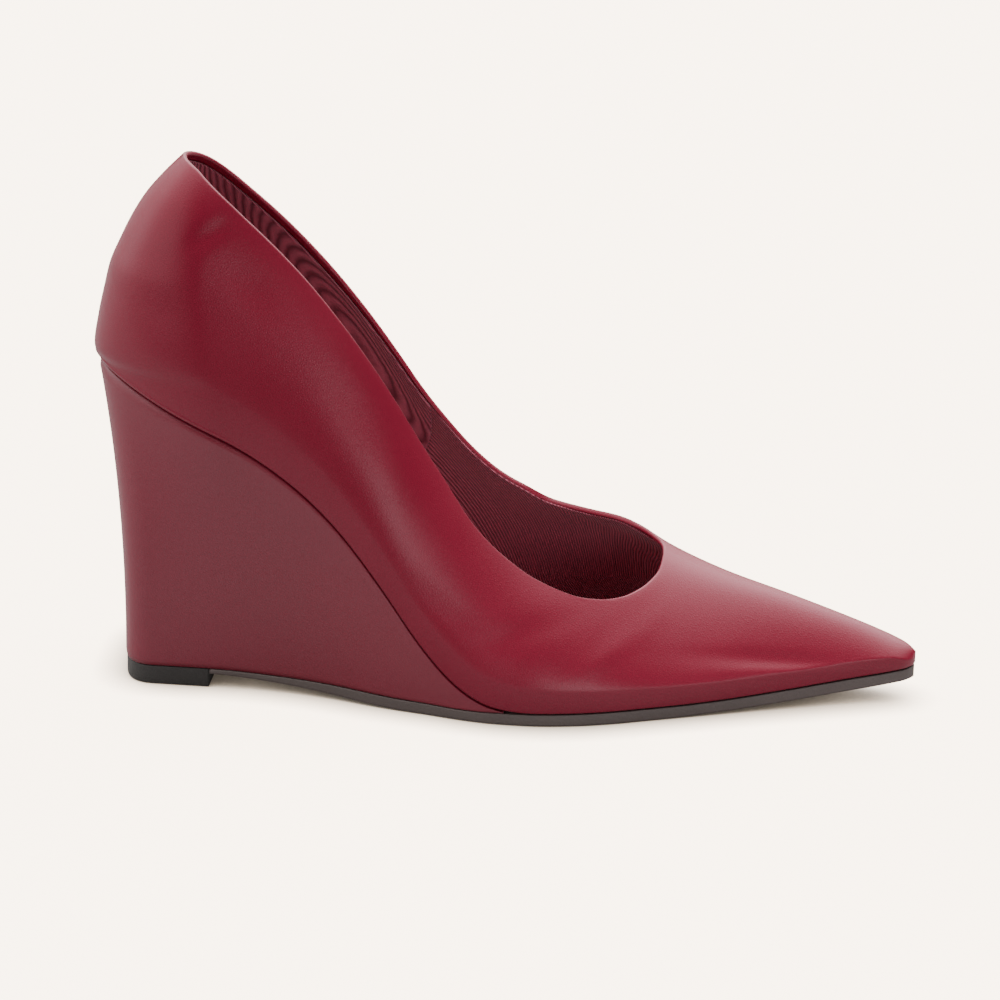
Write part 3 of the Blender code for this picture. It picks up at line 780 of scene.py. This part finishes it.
wedge_leather = smooth_leather(
    "wedge leather", deep=(0.215, 0.0110, 0.029), bright=(0.270, 0.0160, 0.040),
    roughness=0.36, level=0.90, tint=(1.0, 0.93, 0.97),
)
along = 1.0 - np.cos(0.5 * np.pi * np.linspace(0.0, 1.0, WEDGE_STATIONS))
foot_x = WEDGE_BACK + (WEDGE_FRONT - WEDGE_BACK) * along
seat_x = X_BACK + (WEDGE_FRONT - X_BACK) * along
foot_z = sole_top(foot_x) + GAP
seat_z = lower_edge(seat_x) - GROOVE
height = seat_z - foot_z
narrowing = BALL_WIDTH * tread("taper", foot_x) + SOLE_INSET
ledge = LEDGE * np.exp(-((seat_x - X_BACK) / LEDGE_FADE) ** 2)
rows = []
for climb in np.concatenate(([0.0, 0.0], np.linspace(0.0, 1.0, WEDGE_ROWS), [1.0, 1.0])):
    spread = climb ** WEDGE_FLARE
    share = 0.0 if len(rows) in (0, WEDGE_ROWS + 3) else 1.0
    from_top = (1.0 - climb) * height
    from_foot = climb * height
    wrap = np.sqrt(np.clip(1.0 - (1.0 - np.clip(from_top / WRAP, 0.0, 1.0)) ** 2, 0.0, 1.0))
    below = np.clip((from_top - LEDGE_FOOT * ledge) / LEDGE_EDGE, -30.0, 30.0)
    inset = WRAP * (1.0 - wrap)
    inset = inset + LEDGE_DEPTH * ledge / (1.0 + np.exp(below))
    inset = inset + FOOT_TUCK * np.exp(-(from_foot / FOOT_TUCK) ** 2)
    foot = plan_loop(
        foot_x, narrowing, foot_z, share, WEDGE_BACK, FOOT_LENGTH, FOOT_POWERS, X_TOE,
    )
    seat = plan_loop(seat_x, 0.0, seat_z, share, X_BACK, SEAT_LENGTH, HEEL_POWERS, X_TOE)
    loop = foot + (seat - foot) * spread
    loop[:, 2] = foot[:, 2] + (seat[:, 2] - foot[:, 2]) * climb
    across = np.roll(loop, -1, axis=0) - np.roll(loop, 1, axis=0)
    side_way = unit(np.stack((across[:, 1], -across[:, 0], 0.0 * across[:, 0]), axis=-1))
    loop = loop - side_way * np.concatenate((inset, inset[::-1]))[:, None] * share
    rows.append(loop)
rows = np.stack(rows)
faces = grid_faces(*rows.shape[:2], False, True)
make_piece("wedge_cover", rows, faces, wedge_leather, "wedge")

# Outsole.  A thin charcoal rubber sheet cemented under the wedge and the forepart, with softened
# edges and a fine moulded grain on the ground face.
OUTSOLE_EDGE = 0.0006      # radius of the edge on the ground, twice that of the upper edge
OUTSOLE_STATIONS = 200
LIFT_LENGTH = 0.0269


RUBBER_PORES = 900.0       # grains and clouds in the rubber to a metre
RUBBER_CLOUDS = 40.0
RUBBER_STRENGTH = 0.3
RUBBER_DEPTH = 0.0003


def moulded_rubber(name, dark, light, roughness):
    """Charcoal rubber with a fine moulded grain and faint dusty clouds."""
    material = bpy.data.materials.new(name)
    material.use_nodes = True
    tree = material.node_tree
    shader = tree.nodes["Principled BSDF"]
    place = add_node(tree, "ShaderNodeTexCoord")
    grain = add_node(tree, "ShaderNodeGroup", node_tree=bpy.data.node_groups["leather grain"])
    grain.inputs["Pore Scale"].default_value = RUBBER_PORES
    grain.inputs["Cloud Scale"].default_value = RUBBER_CLOUDS
    tree.links.new(place.outputs["Object"], grain.inputs["Vector"])
    colour = add_node(tree, "ShaderNodeMix", data_type="RGBA")
    colour.inputs["A"].default_value = (*dark, 1.0)
    colour.inputs["B"].default_value = (*light, 1.0)
    tree.links.new(grain.outputs["Clouds"], colour.inputs["Factor"])
    tree.links.new(colour.outputs["Result"], shader.inputs["Base Color"])
    bump = add_node(tree, "ShaderNodeBump")
    bump.inputs["Strength"].default_value = RUBBER_STRENGTH
    bump.inputs["Distance"].default_value = RUBBER_DEPTH
    tree.links.new(grain.outputs["Height"], bump.inputs["Height"])
    tree.links.new(bump.outputs["Normal"], shader.inputs["Normal"])
    shader.inputs["Roughness"].default_value = roughness
    return material


sole_rubber = moulded_rubber(
    "outsole rubber", dark=(0.120, 0.095, 0.090), light=(0.165, 0.133, 0.125), roughness=0.5,
)
back = 0.5 * LIFT_LENGTH + GAP
tip = X_TOE - SOLE_INSET
x = back + (tip - back) * np.sin(0.5 * np.pi * np.linspace(0.0, 1.0, OUTSOLE_STATIONS))
narrowing = BALL_WIDTH * tread("taper", x) + SOLE_INSET
rows = []
for share, inset, lift, drop in slab_rows(OUTSOLE_EDGE, 0.5 * OUTSOLE_EDGE):
    z = sole_under(x) + lift if drop is None else sole_top(x) - drop
    rows.append(plan_loop(x, narrowing + inset, z, share, X_BACK, FOOT_LENGTH, FOOT_POWERS, tip))
rows = np.stack(rows)
faces = grid_faces(*rows.shape[:2], False, True)
make_piece("outsole_sheet", rows, faces, sole_rubber, "outsole")

# Heel lift.  A hard charcoal rubber block pinned under the back of the wedge, a little inside its
# edge, square in front and rounded behind.
LIFT_INSET = 0.0003
LIFT_EDGE = 0.0005
LIFT_STATIONS = 60

lift_rubber = moulded_rubber(
    "lift rubber", dark=(0.042, 0.040, 0.038), light=(0.062, 0.058, 0.055), roughness=0.45,
)
back = -0.5 * LIFT_LENGTH
x = back + LIFT_LENGTH * (1.0 - np.cos(0.5 * np.pi * np.linspace(0.0, 1.0, LIFT_STATIONS)))
narrowing = BALL_WIDTH * tread("taper", x) + SOLE_INSET + LIFT_INSET
rows = []
for share, inset, lift, drop in slab_rows(LIFT_EDGE, 0.5 * LIFT_EDGE):
    z = lift + 0.0 * x if drop is None else sole_top(x) - drop
    rows.append(plan_loop(x, narrowing + inset, z, share, back, FOOT_LENGTH, FOOT_POWERS, X_TOE))
rows = np.stack(rows)
faces = grid_faces(*rows.shape[:2], False, True)
make_piece("lift_block", rows, faces, lift_rubber, "heel_lift")

# Floor, lights and camera.  A pale floor, darker in front so that little light comes back from it
# on the outer side, and with a glow for the camera alone, so that it looks near white.  Near the
# shoe that glow is dimmed into a painted contact shadow.
FLOOR_COLOUR = (0.30, 0.295, 0.30)
FLOOR_FRONT_COLOUR = (0.03, 0.03, 0.03)
FLOOR_FRONT = (-0.45, -0.20)        # from the one colour to the other, along Y
FLOOR_GLOW_COLOUR = (1.0, 0.81, 0.62)
FLOOR_GLOW = 0.05
FLOOR_SEEN = 7.6           # more glow that only the camera sees
FLOOR_ROUGHNESS = 0.9
FLOOR_SIZE = 14.0
FLOOR_UNDER = 0.0002       # below the sole
SHADE_REACH = 0.012        # how far from the shoe its contact shade takes that glow away
SHADE_POWER = 2.5
SHADE_SAMPLES = 8

mesh = bpy.data.meshes.new("floor")
half = 0.5 * FLOOR_SIZE
corners = [
    (x, y, -FLOOR_UNDER) for x, y in ((-half, -half), (half, -half), (half, half), (-half, half))
]
mesh.from_pydata(corners, [], [(0, 1, 2, 3)])
floor = bpy.data.objects.new("floor", mesh)
bpy.context.scene.collection.objects.link(floor)
floor_paint = bpy.data.materials.new("floor paint")
floor_paint.use_nodes = True
tree = floor_paint.node_tree
shader = tree.nodes["Principled BSDF"]
shader.inputs["Roughness"].default_value = FLOOR_ROUGHNESS
shader.inputs["Specular IOR Level"].default_value = 0.0
shader.inputs["Emission Color"].default_value = (*FLOOR_GLOW_COLOUR, 1.0)
seen = add_node(tree, "ShaderNodeLightPath")
# Painted contact shadow: ambient occlusion dims the glow that the camera sees near the shoe.
shade = add_node(tree, "ShaderNodeAmbientOcclusion", samples=SHADE_SAMPLES)
shade.inputs["Distance"].default_value = SHADE_REACH
open_air = calculate(tree, "POWER", shade.outputs["AO"], SHADE_POWER)
glow = calculate(tree, "MULTIPLY", seen.outputs["Is Camera Ray"], open_air)
glow = calculate(tree, "MULTIPLY_ADD", glow, FLOOR_SEEN, FLOOR_GLOW)
tree.links.new(glow, shader.inputs["Emission Strength"])
place = add_node(tree, "ShaderNodeTexCoord")
split = add_node(tree, "ShaderNodeSeparateXYZ")
tree.links.new(place.outputs["Object"], split.inputs[0])
near = add_node(tree, "ShaderNodeMapRange", interpolation_type="SMOOTHSTEP")
tree.links.new(split.outputs["Y"], near.inputs["Value"])
near.inputs["From Min"].default_value, near.inputs["From Max"].default_value = FLOOR_FRONT
colour = add_node(tree, "ShaderNodeMix", data_type="RGBA")
colour.inputs["A"].default_value = (*FLOOR_FRONT_COLOUR, 1.0)
colour.inputs["B"].default_value = (*FLOOR_COLOUR, 1.0)
tree.links.new(near.outputs["Result"], colour.inputs["Factor"])
tree.links.new(colour.outputs["Result"], shader.inputs["Base Color"])
mesh.materials.append(floor_paint)

# The studio is dark, with a bright ceiling that leans away to the far side and a softer bright wall
# behind the heel.  A part is bright from one value of its direction to another, by its share.
SKY_COLOUR = (1.0, 0.97, 0.95)
SKY_DARK = 0.03
SKY_BRIGHT = 2.50
SKY_LEAN = 0.5             # ceiling: direction Z + lean * Y
SKY_OVERHEAD = (0.51, 0.74, 1.0)
SKY_BEHIND = (-0.25, -0.70, 0.44)

world = bpy.data.worlds.new("studio")
world.use_nodes = True
sky = world.node_tree
way = add_node(sky, "ShaderNodeTexCoord")
split = add_node(sky, "ShaderNodeSeparateXYZ")
sky.links.new(way.outputs["Generated"], split.inputs[0])
overhead = calculate(sky, "MULTIPLY_ADD", split.outputs["Y"], SKY_LEAN, split.outputs["Z"])
bright = 0.0
for value, (low, high, share) in ((overhead, SKY_OVERHEAD), (split.outputs["X"], SKY_BEHIND)):
    part = add_node(sky, "ShaderNodeMapRange", interpolation_type="SMOOTHSTEP")
    sky.links.new(value, part.inputs["Value"])
    part.inputs["From Min"].default_value = low
    part.inputs["From Max"].default_value = high
    part.inputs["To Max"].default_value = share
    bright = calculate(sky, "MAXIMUM", part.outputs["Result"], bright)
strength = calculate(sky, "MULTIPLY_ADD", bright, SKY_BRIGHT, SKY_DARK)
sky.links.new(strength, sky.nodes["Background"].inputs["Strength"])
sky.nodes["Background"].inputs["Color"].default_value = (*SKY_COLOUR, 1.0)
bpy.context.scene.world = world

# Each light: name, place, aim, width and height, and watts.
LIGHTS = (
    ("overhead", (0.20, 0.80, 1.50), (0.10, 0.00, 0.05), (2.4, 1.6), 36.0),
    ("behind the heel", (-1.60, 0.30, 0.70), (0.00, 0.00, 0.08), (0.8, 1.2), 2.0),
    ("low in front", (0.60, -1.04, 0.17), (0.06, 0.00, 0.05), (0.55, 0.45), 2.4),
)
for name, stand, aim, size, power in LIGHTS:
    lamp = bpy.data.lights.new(name, "AREA")
    lamp.shape = "RECTANGLE"
    lamp.size, lamp.size_y = size
    lamp.energy = power
    light = bpy.data.objects.new(name, lamp)
    light.location = stand
    light.rotation_euler = (Vector(aim) - Vector(stand)).to_track_quat("-Z", "Y").to_euler()
    light.visible_camera = False
    bpy.context.scene.collection.objects.link(light)

AIM = Vector((0.1085, 0.0, 0.06))
DISTANCE = 1.2
ELEVATION = np.radians(20.0)
YAW = np.radians(5.0)
ROLL_ANGLE = np.radians(1.5)
FRAME = 1000.0             # width and height of the picture in pixels
FOCAL = 4080.0             # in pixels
AXIS = (541.3, 486.6)      # pixel that the optical axis passes through
SENSOR = 36.0

back_way = Vector((
    np.sin(YAW) * np.cos(ELEVATION), -np.cos(YAW) * np.cos(ELEVATION), np.sin(ELEVATION),
))
level_way = Vector((np.cos(YAW), np.sin(YAW), 0.0))
up_way = back_way.cross(level_way)
right = level_way * np.cos(ROLL_ANGLE) + up_way * np.sin(ROLL_ANGLE)
top = up_way * np.cos(ROLL_ANGLE) - level_way * np.sin(ROLL_ANGLE)
lens = bpy.data.cameras.new("camera")
lens.sensor_width = SENSOR
lens.lens = FOCAL * SENSOR / FRAME
lens.shift_x = 0.5 - AXIS[0] / FRAME
lens.shift_y = AXIS[1] / FRAME - 0.5
camera = bpy.data.objects.new("camera", lens)
camera.matrix_world = Matrix.Translation(AIM + back_way * DISTANCE) @ Matrix((
    right, top, back_way,
)).transposed().to_4x4()
bpy.context.scene.collection.objects.link(camera)
bpy.context.scene.camera = camera
